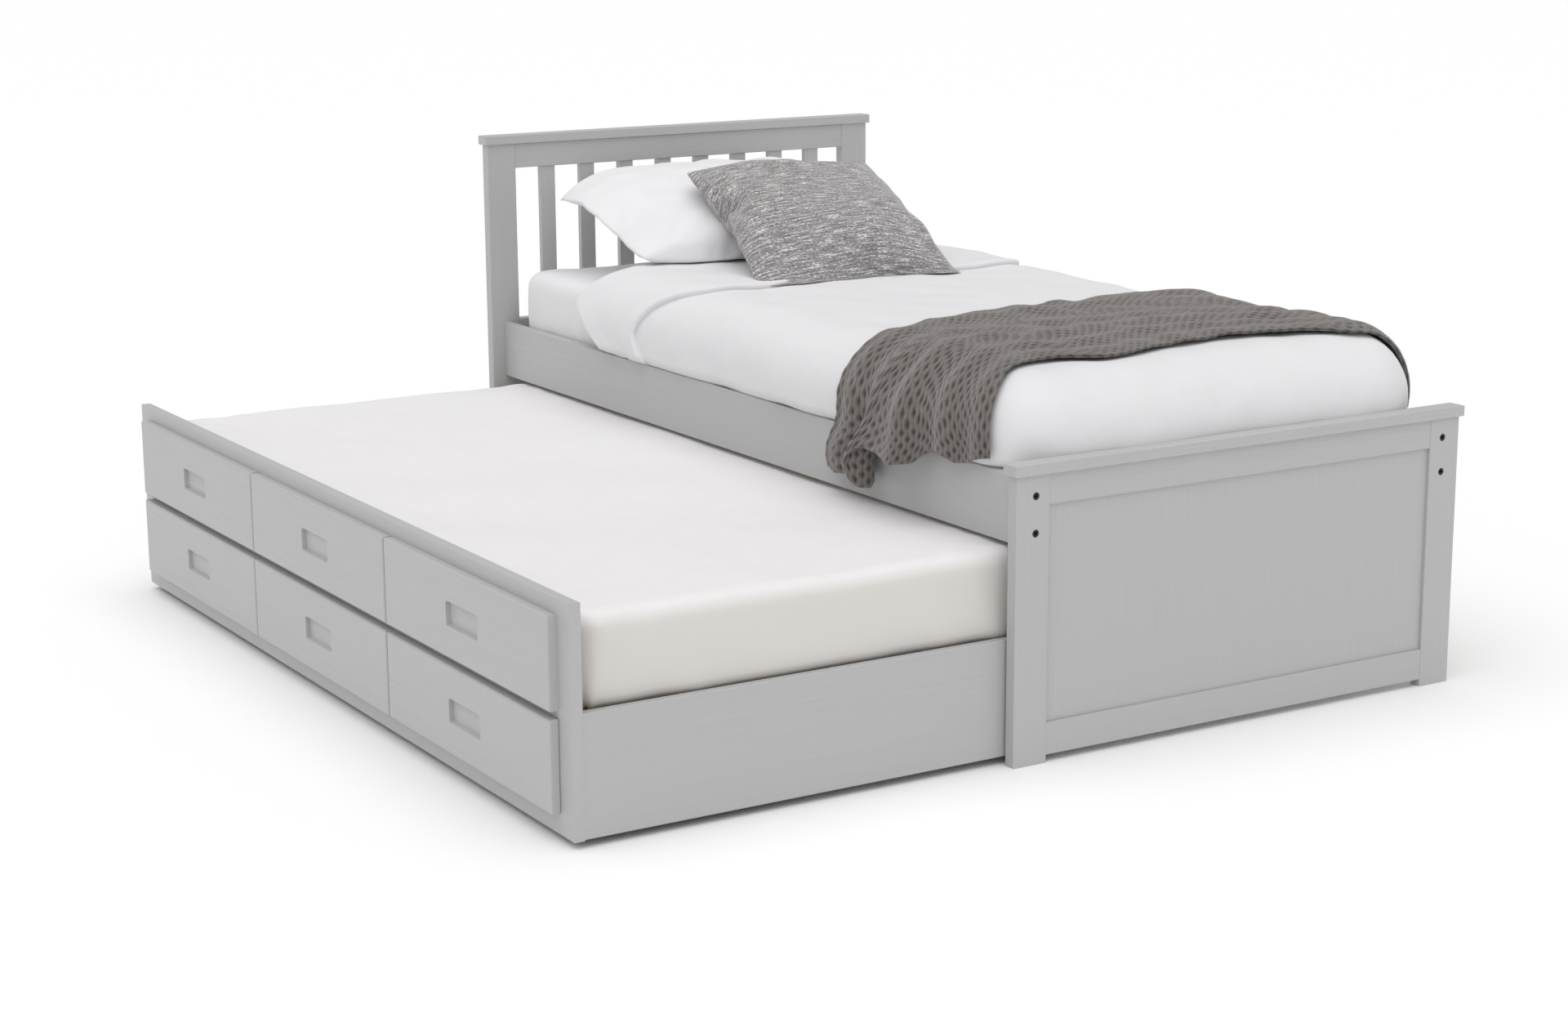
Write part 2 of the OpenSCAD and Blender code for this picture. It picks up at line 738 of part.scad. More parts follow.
// Cover of outer width w, rounded along its top edges, from x0 to x1
module cover(x0, x1, w, z0, z1, r) {
    intersection() {
        board_x([x0, -w / 2, z0 - 2 * r], [x1, w / 2, z1], r);
        block([x0, -w / 2, z0], [x1, w / 2, z1]);
    }
}

module duvet() {
    inner_w = mattress_w + 2 * soft_fit;
    color(white_linen) in_bed() difference() {
        cover(duvet_head, duvet_foot, duvet_w, duvet_hem, duvet_top, duvet_r);
        block([duvet_head - through, -inner_w / 2, duvet_hem - through],
              [mattress_l / 2 + soft_fit, inner_w / 2, mattress_top + soft_fit]);
    }
}

module throw_blanket() {
    inner_w = duvet_w + 2 * soft_fit;
    inner_top = duvet_top + soft_fit;
    hang_y = inner_w / 2 + throw_t;
    color("#8f8984") in_bed() difference() {
        cover(throw_head, throw_foot, 2 * hang_y, throw_hem, inner_top + throw_t, duvet_r + throw_t);
        cover(throw_head - through, throw_foot + through, inner_w, throw_hem - through, inner_top, duvet_r);
        block([throw_head - through, 0, throw_hem - through],
              [throw_foot + through, hang_y + through, throw_far_hem]);
    }
}

// Two crossed lenses: a form that is full in the middle and thin along all four edges
module plump(l, w, t) {
    intersection() {
        lens(l, w, t);
        rotate([0, 0, 90]) lens(w, l, t);
    }
}

// Radius of the two arcs of a lens l long and t thick
function face_r(l, t) = (l * l + t * t) / 4 / t;

// Lens l long and t thick, a little longer than w along Y
module lens(l, w, t) {
    r = face_r(l, t);
    intersection_for (s = [-1, 1])
        translate([0, -w / 2 - through, s * (r - t / 2)]) rotate([-90, 0, 0])
            cylinder(h = w + 2 * through, r = r, $fn = 360);
}

module pillow() {
    color(white_linen) in_bed() translate([pillow_x, pillow_y, pillow_z]) rotate([0, pillow_lean, 0])
        plump(pillow_l, pillow_w, pillow_t);
}

module scatter_cushion() {
    color("#8a888c") in_bed() translate([cushion_x, cushion_y, cushion_z]) rotate([0, cushion_lean, 0])
        plump(cushion_l, cushion_l, cushion_t);
}

// ---------- one line for each sub-part ----------

headboard_post_front();
headboard_post_back();
headboard_cap();
headboard_top_rail();
headboard_slats();
headboard_mid_rail();
headboard_panel();
headboard_bottom_rail();
footboard_post_front();
footboard_post_back();
footboard_cap();
footboard_top_rail();
footboard_panel();
footboard_bottom_rail();
side_rail_front();
side_rail_back();
slat_ledges();
bed_slats();
frame_bolts();
barrel_nuts();
main_mattress();
duvet();
pillow();
scatter_cushion();
throw_blanket();
trundle_fascia();
false_front_left();
false_front_middle();
false_front_right();
trundle_end_head();
trundle_end_foot();
trundle_back();
trundle_divider_left();
trundle_divider_right();
base_rail_front();
base_rail_back();
trundle_slat_ledges();
trundle_slats();
trundle_mattress();
castor_brackets();
castor_axles();
drawer_runners();
castor_wheel_front_left();
castor_wheel_front_middle();
castor_wheel_front_right();
castor_wheel_back_left();
castor_wheel_back_middle();
castor_wheel_back_right();
drawer_front_left();
drawer_box_left();
drawer_bottom_left();
drawer_front_middle();
drawer_box_middle();
drawer_bottom_middle();
drawer_front_right();
drawer_box_right();
drawer_bottom_right();
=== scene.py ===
"""Looks of the trundle bed: its finishes, bedding and studio, built around the CAD frame.

Everything is in metres. The bed's own middle line is y = BED_Y, its headboard is at -X and the
trundle pulls out towards -Y.
"""

import json
import math

import bmesh
import bpy
import numpy as np
from mathutils import Matrix, Vector


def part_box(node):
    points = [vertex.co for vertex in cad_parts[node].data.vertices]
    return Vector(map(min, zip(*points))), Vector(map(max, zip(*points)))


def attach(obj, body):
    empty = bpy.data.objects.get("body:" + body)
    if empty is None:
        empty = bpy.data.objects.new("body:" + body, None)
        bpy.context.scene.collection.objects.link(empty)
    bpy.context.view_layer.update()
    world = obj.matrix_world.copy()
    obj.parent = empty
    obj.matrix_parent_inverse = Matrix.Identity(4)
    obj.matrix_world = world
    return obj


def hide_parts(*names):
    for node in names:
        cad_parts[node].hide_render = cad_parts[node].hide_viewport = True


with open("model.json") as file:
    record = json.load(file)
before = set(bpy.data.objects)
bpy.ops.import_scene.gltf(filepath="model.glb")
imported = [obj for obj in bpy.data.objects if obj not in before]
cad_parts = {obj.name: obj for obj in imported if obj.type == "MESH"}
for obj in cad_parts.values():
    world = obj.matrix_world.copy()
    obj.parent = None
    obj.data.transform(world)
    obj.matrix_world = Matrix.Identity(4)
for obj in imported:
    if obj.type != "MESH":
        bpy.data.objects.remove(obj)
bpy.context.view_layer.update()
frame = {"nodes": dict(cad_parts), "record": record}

bl_info = {
    "name": "Trundle Bed Looks",
    "version": (1, 0, 0),
    "blender": (4, 5, 0),
    "location": "3D View > Sidebar > Trundle Bed",
    "description": "Finishes, bedding and studio for a trundle bed",
    "category": "Object",
}

MM = 0.001

BED_Y = (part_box("side_rail_front")[0].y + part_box("side_rail_back")[1].y) / 2
NODE_BODY = {
    node: body for body, nodes in frame["record"]["behaviour"]["bodies"].items() for node in nodes
}


# ---------- nodes and materials ----------


def linear(hex_colour):
    """Linear RGBA of an sRGB hex colour."""
    parts = [int(hex_colour[i : i + 2], 16) / 255 for i in (1, 3, 5)]
    return tuple(c / 12.92 if c <= 0.04045 else ((c + 0.055) / 1.055) ** 2.4 for c in parts) + (1.0,)


def tinted(colour, share):
    """The colour made lighter or darker: its linear red, green and blue times a share."""
    return tuple(channel * share for channel in colour[:3]) + (1.0,)


def add(tree, kind, values=None, **settings):
    """Adds a node with its settings. values holds its sockets' numbers, or the sockets that feed them."""
    node = tree.nodes.new(kind)
    for name, value in settings.items():
        setattr(node, name, value)
    for key, value in (values or {}).items():
        if isinstance(value, bpy.types.NodeSocket):
            tree.links.new(value, node.inputs[key])
        else:
            node.inputs[key].default_value = value
    return node


def new_material(name, **shader):
    """A material with one Principled shader, whose constant sockets are set here. Returns all three."""
    material = bpy.data.materials.new(name)
    material.use_nodes = True
    tree = material.node_tree
    tree.nodes.clear()
    bsdf = add(tree, "ShaderNodeBsdfPrincipled")
    for socket, value in shader.items():
        bsdf.inputs[socket.replace("_", " ")].default_value = value
    add(tree, "ShaderNodeOutputMaterial", {"Surface": bsdf.outputs[0]})
    return material, tree, bsdf


def feed(tree, bsdf, **sockets):
    """Links pattern outputs to the shader's sockets."""
    for socket, output in sockets.items():
        tree.links.new(output, bsdf.inputs[socket.replace("_", " ")])


def noise(tree, coords, lengths, detail=2.0):
    """Noise whose lumps are about `lengths` metres long along each axis."""
    per_metre = tuple(1 / length for length in lengths)
    scaled = add(tree, "ShaderNodeMapping", {"Vector": coords, "Scale": per_metre})
    return add(
        tree,
        "ShaderNodeTexNoise",
        {"Vector": scaled.outputs[0], "Scale": 1.0, "Detail": detail, "Roughness": 0.55},
    ).outputs["Fac"]


def blend_colours(tree, factor, low, high, colours):
    """Colour that goes from the first to the second as factor goes from low to high."""
    amount = add(tree, "ShaderNodeMapRange", {"Value": factor, "From Min": low, "From Max": high})
    mix = add(tree, "ShaderNodeMix", data_type="RGBA")
    tree.links.new(amount.outputs[0], mix.inputs["Factor"])
    colour_sockets = (mix.inputs[6], mix.inputs[7])
    for socket, colour in zip(colour_sockets, colours):
        if isinstance(colour, bpy.types.NodeSocket):
            tree.links.new(colour, socket)
        else:
            socket.default_value = colour
    return mix.outputs[2]


def remap(tree, factor, low, high, to_low, to_high):
    """Number that goes from to_low to to_high as factor goes from low to high."""
    return add(
        tree,
        "ShaderNodeMapRange",
        {"Value": factor, "From Min": low, "From Max": high, "To Min": to_low, "To Max": to_high},
    ).outputs[0]


def bump(tree, height, distance, strength=1.0, under=None):
    """Normal of a height pattern that stands `distance` metres high."""
    values = {"Height": height, "Distance": distance, "Strength": strength}
    if under is not None:
        values["Normal"] = under
    return add(tree, "ShaderNodeBump", values).outputs[0]


def object_coords(tree):
    """Position on the piece in metres."""
    return add(tree, "ShaderNodeTexCoord").outputs["Object"]


# Length and breadth of a streak of wood grain in mm, for boards that run along each axis
GRAIN = {"x": (180, 2.2, 2.2), "y": (2.2, 180, 2.2), "z": (2.2, 2.2, 180)}


def satin_paint(colour, along):
    """Beech and fibreboard under sprayed satin lacquer: even grey, with the grain just showing as fine
    streaks along each board and a soft broken sheen."""
    name = f"satin_paint_grain_{along}"
    material, tree, bsdf = new_material(name, IOR=1.5, Coat_Weight=0.12, Coat_Roughness=0.35)
    coords = object_coords(tree)
    streaks = noise(tree, coords, [n * MM for n in GRAIN[along]], 4)
    wide = noise(tree, coords, [n * 9 * MM for n in GRAIN[along]], 2)
    grain = blend_colours(tree, streaks, 0.3, 0.7, (tinted(colour, 0.955), tinted(colour, 1.04)))
    patchy = blend_colours(tree, wide, 0.35, 0.65, (grain, colour))
    pores = bump(tree, streaks, 0.12 * MM, 0.5)
    feed(
        tree,
        bsdf,
        Base_Color=patchy,
        Roughness=remap(tree, streaks, 0.3, 0.7, 0.50, 0.40),
        Normal=pores,
    )
    return material


def planed_pine(along):
    """Unpainted planed pine: pale yellow wood with long soft darker grain bands."""
    material, tree, bsdf = new_material(f"planed_pine_{along}", IOR=1.5)
    coords = object_coords(tree)
    bands = noise(tree, coords, [n * 5 * MM for n in GRAIN[along]], 3)
    fibres = noise(tree, coords, [n * MM for n in GRAIN[along]], 3)
    wood = blend_colours(tree, bands, 0.38, 0.62, (linear("#C9AE82"), linear("#E2CFA9")))
    shaded = blend_colours(tree, fibres, 0.2, 0.5, (linear("#BFA377"), wood))
    feed(
        tree,
        bsdf,
        Base_Color=shaded,
        Roughness=remap(tree, fibres, 0.3, 0.7, 0.7, 0.55),
        Normal=bump(tree, fibres, 0.15 * MM, 0.6),
    )
    return material


def melamine_board():
    """Drawer bottoms: thin fibreboard with a white melamine face, nearly even, faintly pebbled."""
    material, tree, bsdf = new_material("melamine_board", IOR=1.5)
    coords = object_coords(tree)
    peel = noise(tree, coords, [1.5 * MM] * 3, 1)
    cloud = noise(tree, coords, [60 * MM] * 3, 2)
    feed(
        tree,
        bsdf,
        Base_Color=blend_colours(tree, cloud, 0.3, 0.7, (linear("#E3E0D8"), linear("#ECEAE4"))),
        Roughness=remap(tree, cloud, 0.3, 0.7, 0.35, 0.45),
        Normal=bump(tree, peel, 0.03 * MM, 0.5),
    )
    return material


def metal(name, dark, bright, roughness, grit):
    """Metal with fine grit from its finishing bath: uneven brightness and broken reflections."""
    material, tree, bsdf = new_material(name, Metallic=1.0)
    coords = object_coords(tree)
    spots = noise(tree, coords, [grit * MM] * 3, 3)
    feed(
        tree,
        bsdf,
        Base_Color=blend_colours(tree, spots, 0.3, 0.7, (linear(dark), linear(bright))),
        Roughness=remap(tree, spots, 0.3, 0.7, roughness - 0.06, roughness + 0.08),
        Normal=bump(tree, spots, 0.02 * MM, 0.4),
    )
    return material


def moulded_nylon():
    """Castor wheels: moulded black nylon, dull, with faint flow marks."""
    material, tree, bsdf = new_material("moulded_nylon", IOR=1.53)
    coords = object_coords(tree)
    flow = noise(tree, coords, [3 * MM, 8 * MM, 8 * MM], 3)
    feed(
        tree,
        bsdf,
        Base_Color=blend_colours(tree, flow, 0.3, 0.7, (linear("#262628"), linear("#323234"))),
        Roughness=remap(tree, flow, 0.3, 0.7, 0.45, 0.58),
        Normal=bump(tree, flow, 0.04 * MM, 0.4),
    )
    return material


def cotton(name, colour, shade, thread, crease_depth, side_shade=None):
    """Woven cotton sheeting: matt white with a soft halo of loose fibres, a fine thread texture and
    small creases, with painted shade darkening the colour in the creases. shade is how much of the colour
    is left in a crease, as painted shade; thread and crease_depth are in mm. The thread is drawn a few
    times coarser than it is, so that it shows at all. A second colour, where given, goes on a mattress's
    upright sides as painted shade, darker and warmer than the top."""
    material, tree, bsdf = new_material(name, IOR=1.46, Sheen_Weight=0.25, Sheen_Roughness=0.6)
    coords = object_coords(tree)
    creases = noise(tree, coords, [70 * MM, 45 * MM, 45 * MM], 3)
    fine = noise(tree, coords, [14 * MM, 10 * MM, 10 * MM], 2)
    weave = noise(tree, coords, [thread * MM] * 3, 1)
    rumpled = bump(tree, creases, crease_depth * MM, 0.6)
    # painted shade: where the crease pattern is low the colour is darkened, as if shade fell in the
    # creases
    cloth = blend_colours(tree, creases, 0.25, 0.7, (tinted(colour, shade), colour))
    # painted shade: faces that point sideways take the second colour, darker and warmer, as shade on the
    # upright sides
    if side_shade:
        facing = add(tree, "ShaderNodeNewGeometry").outputs["Normal"]
        upward = add(tree, "ShaderNodeSeparateXYZ", {0: facing}).outputs["Z"]
        cloth = blend_colours(tree, upward, 0.2, 0.8, (side_shade, cloth))
    small = bump(tree, fine, 0.35 * MM, 0.35, rumpled)
    feed(
        tree,
        bsdf,
        Base_Color=cloth,
        Roughness=remap(tree, weave, 0.3, 0.7, 0.82, 0.92),
        Normal=bump(tree, weave, 0.12 * MM, 0.5, small),
    )
    return material


def grey_tweed(yarn, fleck):
    """Chunky marled tweed: short light and dark dashes of slubby yarn along one direction, one thread
    about 3 mm thick, with the weave standing up between them."""
    material, tree, bsdf = new_material("grey_tweed", IOR=1.46, Sheen_Weight=0.35, Sheen_Roughness=0.5)
    uv = add(tree, "ShaderNodeTexCoord").outputs["UV"]
    dashes = noise(tree, uv, [2.2 * MM, 6.5 * MM, MM], 2)
    slubs = noise(tree, uv, [4.0 * MM, 42 * MM, MM], 2)
    threads = noise(tree, uv, [2.8 * MM, 3.6 * MM, MM], 1)
    marl = add(tree, "ShaderNodeMath", {0: dashes, 1: slubs}, operation="ADD").outputs[0]
    dark = blend_colours(tree, marl, 0.76, 0.98, (linear("#625E60"), yarn))
    light = blend_colours(tree, marl, 1.03, 1.22, (dark, fleck))
    height = add(tree, "ShaderNodeMath", {0: dashes, 1: threads}, operation="ADD").outputs[0]
    feed(
        tree,
        bsdf,
        Base_Color=light,
        Roughness=remap(tree, threads, 0.3, 0.7, 0.85, 0.95),
        Normal=bump(tree, height, 1.1 * MM, 0.9),
    )
    return material


def taupe_knit(colour):
    """Thick soft yarn in a brick-like stitch: each stitch is a plump loop, the gaps between are deep and
    drawn dark with painted shade, and painted highlights and shade of loose fibres speckle the yarn. The
    strands ripple every 6 mm or so."""
    material, tree, bsdf = new_material("taupe_knit", IOR=1.46, Sheen_Weight=0.5, Sheen_Roughness=0.45)
    stitch = add(tree, "ShaderNodeAttribute", attribute_name="stitch").outputs["Fac"]
    coords = object_coords(tree)
    fibre = noise(tree, coords, [1.6 * MM] * 3, 3)
    patch = noise(tree, coords, [30 * MM] * 3, 2)
    uv = add(tree, "ShaderNodeTexCoord").outputs["UV"]
    loops = add(
        tree,
        "ShaderNodeTexWave",
        {"Vector": uv, "Scale": 50.0, "Distortion": 3.0, "Detail": 1.0, "Detail Scale": 60.0},
        bands_direction="X",
    ).outputs["Fac"]
    yarn = blend_colours(tree, patch, 0.3, 0.7, (linear("#827A76"), colour))
    # painted highlights and shade of loose fibres: fine specks that darken the yarn
    painted_fibre_light = blend_colours(tree, fibre, 0.3, 0.7, (linear("#6C6561"), yarn))
    # painted shade in the knit's gaps: near black where the stitch height is low
    deep = blend_colours(tree, stitch, 0.05, 0.85, (linear("#2B2726"), painted_fibre_light))
    twist = bump(tree, loops, 0.9 * MM, 0.5)
    feed(
        tree,
        bsdf,
        Base_Color=deep,
        Roughness=remap(tree, fibre, 0.3, 0.7, 0.8, 0.95),
        Normal=bump(tree, fibre, 0.5 * MM, 0.5, twist),
    )
    return material


# ---------- shapes ----------


def mesh_object(name, points, faces, uv=None, stitch=None):
    """Object from points and faces: doubles merged, normals pointing out, shaded smooth."""
    mesh = bpy.data.meshes.new(name)
    mesh.from_pydata(points.reshape(-1, 3).tolist(), [], faces)
    if uv is not None:
        corners = np.empty(len(mesh.loops), np.int32)
        mesh.loops.foreach_get("vertex_index", corners)
        layer = mesh.uv_layers.new(name="UVMap")
        layer.data.foreach_set("uv", uv.reshape(-1, 2)[corners].astype(np.float32).ravel())
    if stitch is not None:
        layer = mesh.attributes.new("stitch", "FLOAT", "POINT")
        layer.data.foreach_set("value", stitch.astype(np.float32).ravel())
    shape = bmesh.new()
    shape.from_mesh(mesh)
    bmesh.ops.remove_doubles(shape, verts=shape.verts, dist=1e-6)
    bmesh.ops.recalc_face_normals(shape, faces=shape.faces)
    shape.to_mesh(mesh)
    shape.free()
    mesh.shade_smooth()
    piece = bpy.data.objects.new(name, mesh)
    bpy.context.scene.collection.objects.link(piece)
    return piece


def quads(rows, columns, close_rows=False):
    """Faces between neighbours on a grid; close_rows joins the last row to the first."""
    index = np.arange(rows * columns).reshape(rows, columns)
    if close_rows:
        index = np.vstack([index, index[:1]])
    corners = [index[:-1, :-1], index[1:, :-1], index[1:, 1:], index[:-1, 1:]]
    return np.stack(corners, -1).reshape(-1, 4).tolist()


def two_layers(rows, columns):
    """Faces of an upper grid and of a lower one that follows it in the mesh, facing the other way."""
    upper = quads(rows, columns)
    return upper + [[i + rows * columns for i in reversed(face)] for face in upper]


def ripple(x, y, length, seed, waves=9):
    """Uneven swell between about -1 and 1: sine waves of seeded directions, each about `length` long."""
    rng = np.random.default_rng(seed)
    total = 0
    for turn, stretch, start in rng.random((waves, 3)):
        number = math.tau / (length * (0.6 + 0.8 * stretch))
        along = x * math.cos(math.pi * turn) + y * math.sin(math.pi * turn)
        total = total + np.sin(number * along + math.tau * start)
    return total / math.sqrt(waves)


def smooth(low, high, x):
    """0 below low, 1 above high, and an S-shaped rise between."""
    t = np.clip((x - low) / (high - low), 0, 1)
    return t * t * (3 - 2 * t)


def through(points, x):
    """Smooth line through a few points: straight stretches averaged over a short window."""
    place, value = np.array(points).T
    window = (place[-1] - place[0]) * 0.015
    offsets = np.linspace(-1, 1, 7) * window
    return sum(np.interp(x + step, place, value) for step in offsets) / len(offsets)


def edge_profile(height, top_r, bottom_r=0.0, under=0.0):
    """How a sheet leaves the top of a block: a quarter circle over the top edge, a straight side and,
    where bottom_r is given, a quarter circle under it and a run inwards. Returns, for each distance
    walked, how far out it is, how far down, and how far its outward direction has turned from up."""
    turn = np.linspace(0, math.pi / 2, 13)
    walked = [top_r * turn]
    out = [top_r * np.sin(turn)]
    down = [top_r * (1 - np.cos(turn))]
    angle = [turn]
    straight = height - top_r - bottom_r
    walked.append([walked[-1][-1] + straight])
    out.append([top_r])
    down.append([top_r + straight])
    angle.append([math.pi / 2])
    if bottom_r:
        walked.append(walked[-1][-1] + bottom_r * turn[1:])
        out.append(top_r - bottom_r * (1 - np.cos(turn[1:])))
        down.append(height - bottom_r * (1 - np.sin(turn[1:])))
        angle.append(math.pi / 2 + turn[1:])
        walked.append([walked[-1][-1] + under])
        out.append([top_r - bottom_r - under])
        down.append([height])
        angle.append([math.pi])
    return [np.concatenate(part) for part in (walked, out, down, angle)]


def drape(block, profile, a, b, lift):
    """Place of a sheet's point on a block. block is (middle x, middle y, top z, half length, half width,
    corner radius). (a, b) is where the point lies on the sheet measured from the middle of the top, and
    lift is its height off the block's skin. Inside the corner radius the sheet is flat; past it, the
    distance walked outwards follows the edge profile, straight out from the nearest corner centre."""
    middle_x, middle_y, top, half_l, half_w, corner_r = block
    walked, out, down, angle = profile
    over_a = np.maximum(np.abs(a) - (half_l - corner_r), 0)
    over_b = np.maximum(np.abs(b) - (half_w - corner_r), 0)
    blunt = 6
    distance = (over_a**blunt + over_b**blunt) ** (1 / blunt)
    flat = corner_r - out.max()
    past = np.maximum(distance - flat, 0)
    tilt = np.interp(past, walked, angle)
    reach = np.minimum(distance, flat) + np.interp(past, walked, out) + lift * np.sin(tilt)
    heading = np.arctan2(over_b, over_a + 1e-12)
    x = middle_x + np.sign(a) * (np.minimum(np.abs(a), half_l - corner_r) + reach * np.cos(heading))
    y = middle_y + np.sign(b) * (np.minimum(np.abs(b), half_w - corner_r) + reach * np.sin(heading))
    z = top - np.interp(past, walked, down) + lift * np.cos(tilt)
    return np.stack(np.broadcast_arrays(x, y, z), -1)


def sheeted_mattress(name, node, props, seed):
    """Foam mattress in a fitted sheet: the sheet's flat cloth is walked over all its sides and under it,
    with slow swells, gathers towards the corners and one flat face closing it below."""
    low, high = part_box(node)
    middle = (low + high) / 2
    half_l, half_w = (high.x - low.x) / 2, (high.y - low.y) / 2
    block = (middle.x, middle.y, high.z, half_l, half_w, props.corner_r)
    tucked = 10 * MM
    profile = edge_profile(high.z - low.z, props.edge_r, props.edge_r * 0.6, tucked)
    past = props.corner_r - props.edge_r + profile[0][-1]
    rows = round(2 * (half_l + past) / props.cell)
    columns = round(2 * (half_w + past) / props.cell)
    a = np.linspace(-1, 1, rows)[:, None] * (half_l - props.corner_r + past)
    b = np.linspace(-1, 1, columns)[None, :] * (half_w - props.corner_r + past)
    past_l, past_w = np.abs(a) - half_l, np.abs(b) - half_w
    side = smooth(-0.05, 0.1, past_l) + smooth(-0.05, 0.1, past_w)
    near_corner = smooth(-0.28, 0, past_l) * smooth(-0.28, 0, past_w)
    # gathers fan out from a point 0.25 m in from each corner
    gathers = np.sin(np.arctan2(past_w + 0.25, past_l + 0.25) * 22)
    lift = (
        props.swell * (ripple(a, b, 0.42, seed) - 1.2)
        + 0.6 * MM * ripple(a, b, 0.11, seed + 1) * (0.4 + side)
        + 1.4 * MM * gathers * near_corner
    )
    points = drape(block, profile, a, b, lift)
    underside = points[..., 2] < low.z + 4 * MM
    points[..., 2] = np.where(underside, low.z, points[..., 2])
    index = np.arange(rows * columns).reshape(rows, columns)
    rim = [*index[0, :-1], *index[:-1, -1], *index[-1, :0:-1], *index[:0:-1, 0]]
    faces = quads(rows, columns) + [[int(i) for i in rim]]
    return mesh_object(name, points, faces)


# Thickness of the duvet's filling, and the radii of its upright corners and of its top edges
DUVET_BODY = 28 * MM
DUVET_CORNER_R = 0.10
DUVET_EDGE_R = 0.088


def duvet_block():
    """The block that the duvet's underside lies on, as drape takes it, and the height of its hem."""
    low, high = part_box("duvet")
    half_w = (high.y - low.y) / 2 - DUVET_BODY
    block = (0.0, BED_Y, high.z - DUVET_BODY, high.x - DUVET_BODY, half_w, DUVET_CORNER_R)
    return block, low.z


def duvet_swell(a, b):
    """How much the filling lifts the duvet's upper face: slow swells with a few softer lumps."""
    return 2.6 * MM * ripple(a, b, 0.36, 21) + 1.1 * MM * ripple(a, b, 0.13, 22)


# How far the duvet's fold and the hem of its turned-back band lie from their middle lines, by the
# distance from the bed's middle measured over the cloth
FOLD_LINE = ((0, 0), (0.30, 0.01), (0.38, 0.045), (0.46, -0.03), (0.50, 0.05), (0.54, 0.12))
HEM_LINE = ((0, 0), (0.32, 0.01), (0.38, 0.01), (0.44, -0.09), (0.48, -0.13), (0.54, -0.09))


def make_duvet(props):
    """Filled duvet with its head edge turned back. Its section along the bed is one closed loop: the
    underside, a round turn at the fold, the turned-back band, a step down at the band's hem, the upper
    face and a rounded foot edge. The loop is walked over the mattress at every point across the bed."""
    block, hem_z = duvet_block()
    _, _, top, half_l, half_w, corner_r = block
    profile = edge_profile(top - hem_z + 3 * MM, DUVET_EDGE_R)
    past = corner_r - DUVET_EDGE_R + profile[0][-1]
    foot = half_l - corner_r + past
    reach = half_w - corner_r + past
    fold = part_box("duvet")[0].x
    hem = fold + props.band
    body, double = DUVET_BODY, props.fold_height
    turn_in = 0.02
    bend = np.linspace(-math.pi / 2, math.pi / 2, 9)[1:-1]
    under = np.linspace(foot, fold + turn_in, 60)
    band = np.linspace(fold + turn_in, hem, round(props.band / props.cell))
    upper = np.linspace(hem + turn_in, foot, round((foot - hem) / props.cell))
    # the band's hem: how far past its end, and how high, as it rounds over and meets the upper face
    hem_out = np.array([3.5, 5.5, 5.5, 3.5, 7.0, 12.0]) * MM
    hem_over = np.array([-1.5, -5.0, 4.0, 1.2, -0.6, -0.2]) * MM
    hem_up = np.array([double, double, body, body, body, body]) + hem_over
    foot_out = np.array([3.0, 4.5, 3.0]) * MM
    foot_up = body * np.array([0.85, 0.5, 0.15])
    a_loop = np.concatenate([
        under,
        fold + turn_in - (turn_in + 0.5 * double) * np.cos(bend) ** 0.8,
        band,
        hem + hem_out,
        upper,
        foot + foot_out,
    ])
    lifted = np.concatenate([
        np.zeros_like(under),
        double / 2 * (1 + np.sin(bend)),
        np.full_like(band, double),
        hem_up,
        np.full_like(upper, body),
        foot_up,
    ])
    columns = round(2 * reach / props.cell)
    b = np.linspace(-1, 1, columns)[None, :] * reach
    a = a_loop[:, None]
    height = lifted[:, None]
    share = height / body
    # the fold and the band's hem wander across the bed and swing down the sides
    fold_shift = through(FOLD_LINE, np.abs(b)) + 5 * MM * np.sin(9 * b + 0.6) + 3 * MM * np.sin(19 * b)
    hem_shift = through(HEM_LINE, np.abs(b)) + 7 * MM * np.sin(7 * b + 0.6) + 4 * MM * np.sin(17 * b)
    to_hem = np.clip((a - fold) / (hem - fold), 0, 1)
    slant = (fold_shift * (1 - to_hem) + hem_shift * to_hem) * smooth(hem + 0.30, hem + 0.02, a)
    swell = duvet_swell(a, b) * smooth(0.2, 1, share)
    lower_hem = 4 * MM * ripple(a, b * 0, 0.3, 24) * smooth(half_w + 0.02, reach, np.abs(b))
    # the side hems are half round, body / 2 in radius
    to_edge = np.clip((np.abs(b) - (reach - body / 2)) / (body / 2), 0, 1)
    thin = np.sqrt(1 - to_edge**2)
    lift = body / 2 + (height + swell - body / 2) * thin
    points = drape(block, profile, a + slant, b + np.sign(b) * lower_hem, lift)
    return mesh_object("duvet_cover", points, quads(len(a_loop), columns, close_rows=True))


# Frames after which the blown-up cushions lie still enough
FILLING_FRAMES = 22


